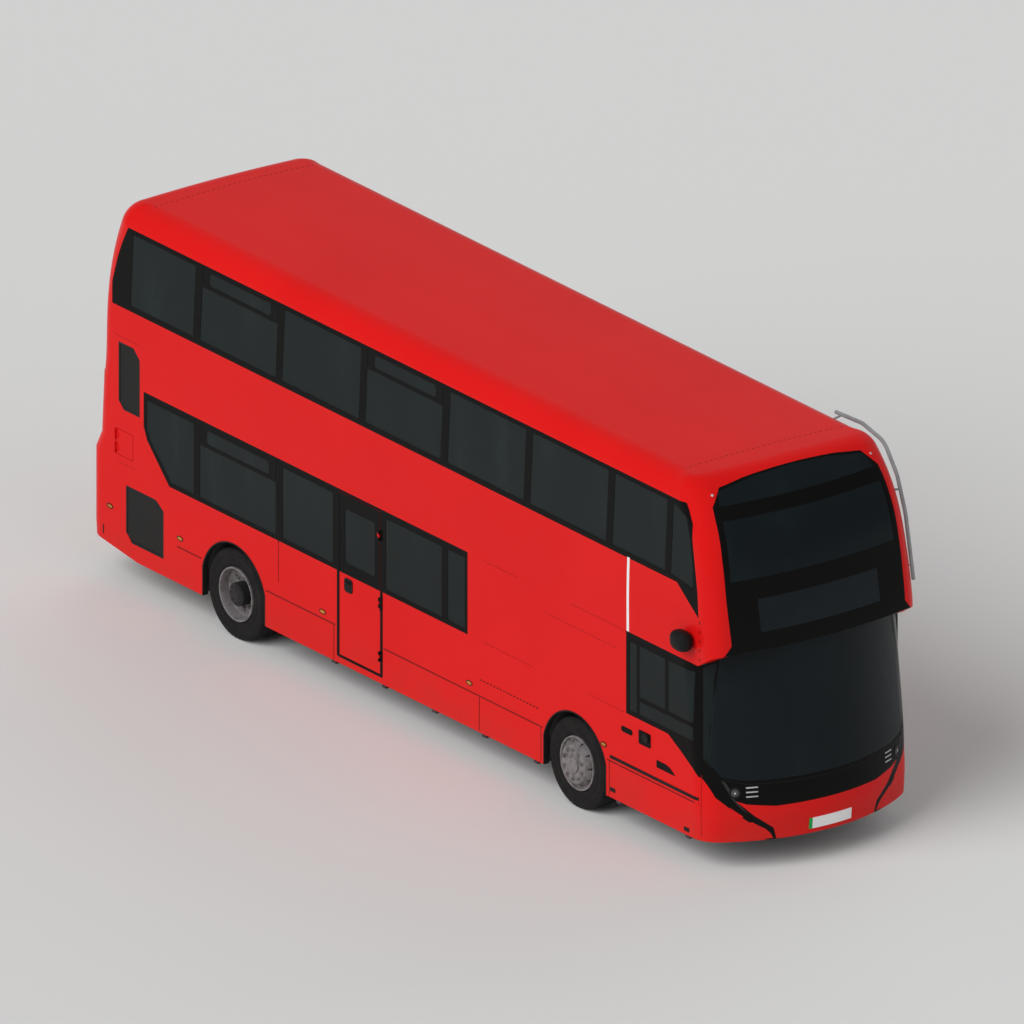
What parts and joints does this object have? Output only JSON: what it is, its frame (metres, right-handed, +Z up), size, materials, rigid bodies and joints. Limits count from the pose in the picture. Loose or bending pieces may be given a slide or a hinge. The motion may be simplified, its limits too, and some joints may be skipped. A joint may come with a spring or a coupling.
{
  "type": "electric double-decker bus",
  "caption": "Full-size electric double-decker bus with steered front wheels, twin rear wheels, glazed decks, seats, staircase, cab and opening doors.",
  "frame": {"origin": "on the ground under the middle of the body's length and width", "axes": "+X forwards, +Y to the nearside (left), +Z up"},
  "size_m": [10.906, 2.89, 4.08],
  "materials": {
    "red_paint": "gloss",
    "black_panel": "semi-gloss",
    "dark_glass": "tinted",
    "display_glass": "gloss",
    "lamp_lens": "clear",
    "rear_lens": "gloss",
    "amber_lens": "gloss",
    "grille_black": "matt",
    "frame_steel": "matt",
    "axle_iron": "matt",
    "battery_case": "satin",
    "motor_case": "cast",
    "tyre_rubber": "matt",
    "wheel_paint": "satin",
    "floor_sheet": "matt",
    "seat_cloth": "moquette",
    "grey_trim": "satin",
    "grab_rail": "satin",
    "guard_tube": "satin",
    "black_trim": "matt"
  },
  "bodies": {
    "body": {"roof": "red_paint", "front_dome": "red_paint", "rear_dome": "red_paint", "wall_right_upper": "red_paint", "wall_left_upper": "red_paint", "wall_right_lower": "red_paint", "wall_left_lower": "red_paint", "rear_lower": "red_paint", "bumper_front": "red_paint", "front_mask": "black_panel", "headlamps": "lamp_lens", "destination_display": "display_glass", "glazing_surrounds": "black_panel", "side_windows": "dark_glass", "windscreens": "dark_glass", "side_grilles": "grille_black", "rear_lamps": "rear_lens", "side_markers": "amber_lens", "charge_inlet": "black_trim", "floor_lower": "floor_sheet", "floor_upper": "floor_sheet", "chassis": "frame_steel", "battery_packs": "battery_case", "traction_motor": "motor_case", "axle_front": "axle_iron", "axle_rear": "axle_iron", "seats": "seat_cloth", "staircase": "grey_trim", "cab": "grey_trim", "handrails": "grab_rail", "mirror_pods": "black_trim", "tree_guard": "guard_tube"},
    "knuckle_left": {"knuckle_left": "axle_iron"},
    "knuckle_right": {"knuckle_right": "axle_iron"},
    "wheel_front_left": {"tyre_front_left": "tyre_rubber", "rim_front_left": "wheel_paint"},
    "wheel_front_right": {"tyre_front_right": "tyre_rubber", "rim_front_right": "wheel_paint"},
    "wheel_rear_left": {"tyre_rear_left": "tyre_rubber", "rim_rear_left": "wheel_paint"},
    "wheel_rear_right": {"tyre_rear_right": "tyre_rubber", "rim_rear_right": "wheel_paint"},
    "emergency_door": {"emergency_door": "red_paint", "emergency_door_glass": "dark_glass"},
    "entrance_arm_front": {"entrance_arm_front": "frame_steel"},
    "entrance_arm_rear": {"entrance_arm_rear": "frame_steel"},
    "entrance_leaf_front": {"entrance_leaf_front": "black_panel", "entrance_glass_front": "dark_glass"},
    "entrance_leaf_rear": {"entrance_leaf_rear": "black_panel", "entrance_glass_rear": "dark_glass"},
    "rear_cover": {"rear_cover": "red_paint"},
    "charge_flap": {"charge_flap": "red_paint"},
    "steering_wheel": {"steering_wheel": "black_trim"}
  },
  "joints": [
    {"name": "steer_left", "type": "hinge", "parent": "body", "child": "knuckle_left", "pos_m": [2.82, 1, 0.4785], "axis": [0, 0, 1], "range_deg": [-45, 45]},
    {"name": "steer_right", "type": "hinge", "parent": "body", "child": "knuckle_right", "pos_m": [2.82, -1, 0.4785], "axis": [0, 0, 1], "range_deg": [-45, 45]},
    {"name": "roll_front_left", "type": "hinge", "parent": "knuckle_left", "child": "wheel_front_left", "pos_m": [2.82, 1.112, 0.4785], "axis": [0, 1, 0], "continuous": true},
    {"name": "roll_front_right", "type": "hinge", "parent": "knuckle_right", "child": "wheel_front_right", "pos_m": [2.82, -1.112, 0.4785], "axis": [0, 1, 0], "continuous": true},
    {"name": "roll_rear_left", "type": "hinge", "parent": "body", "child": "wheel_rear_left", "pos_m": [-2.97, 1.112, 0.4785], "axis": [0, 1, 0], "continuous": true},
    {"name": "roll_rear_right", "type": "hinge", "parent": "body", "child": "wheel_rear_right", "pos_m": [-2.97, -1.112, 0.4785], "axis": [0, 1, 0], "continuous": true},
    {"name": "steering_turn", "type": "hinge", "parent": "body", "child": "steering_wheel", "pos_m": [4.6, -0.62, 1.105], "axis": [-0.8, 0, 0.6], "range_deg": [-900, 900]},
    {"name": "emergency_door_swing", "type": "hinge", "parent": "body", "child": "emergency_door", "pos_m": [-0.485, -1.291, 1.2], "axis": [0, 0, 1], "range_deg": [0, 95]},
    {"name": "charge_flap_swing", "type": "hinge", "parent": "body", "child": "charge_flap", "pos_m": [-4.967, -1.291, 1.518], "axis": [0, 0, -1], "range_deg": [0, 100]},
    {"name": "rear_cover_lift", "type": "hinge", "parent": "body", "child": "rear_cover", "pos_m": [-5.456, 0, 1.287], "axis": [0, 1, 0], "range_deg": [0, 80]},
    {"name": "entrance_rear_arm_swing", "type": "hinge", "parent": "body", "child": "entrance_arm_rear", "pos_m": [3.581, 1.2525, 1.26], "axis": [0, 0, -1], "range_deg": [0, 90]},
    {"name": "entrance_rear_leaf_turn", "type": "hinge", "parent": "entrance_arm_rear", "child": "entrance_leaf_rear", "pos_m": [3.91175, 1.2525, 1.26], "axis": [0, 0, -1], "range_deg": [-180, 0]},
    {"name": "entrance_front_arm_swing", "type": "hinge", "parent": "body", "child": "entrance_arm_front", "pos_m": [4.834, 1.2525, 1.26], "axis": [0, 0, 1], "range_deg": [0, 90]},
    {"name": "entrance_front_leaf_turn", "type": "hinge", "parent": "entrance_arm_front", "child": "entrance_leaf_front", "pos_m": [4.50325, 1.2525, 1.26], "axis": [0, 0, 1], "range_deg": [-180, 0]}
  ],
  "couplings": [
    {"joint": "steer_right", "follows": "steer_left", "ratio": 1},
    {"joint": "steering_turn", "follows": "steer_left", "ratio": 20},
    {"joint": "entrance_rear_leaf_turn", "follows": "entrance_rear_arm_swing", "ratio": -2},
    {"joint": "entrance_front_leaf_turn", "follows": "entrance_front_arm_swing", "ratio": -2}
  ]
}
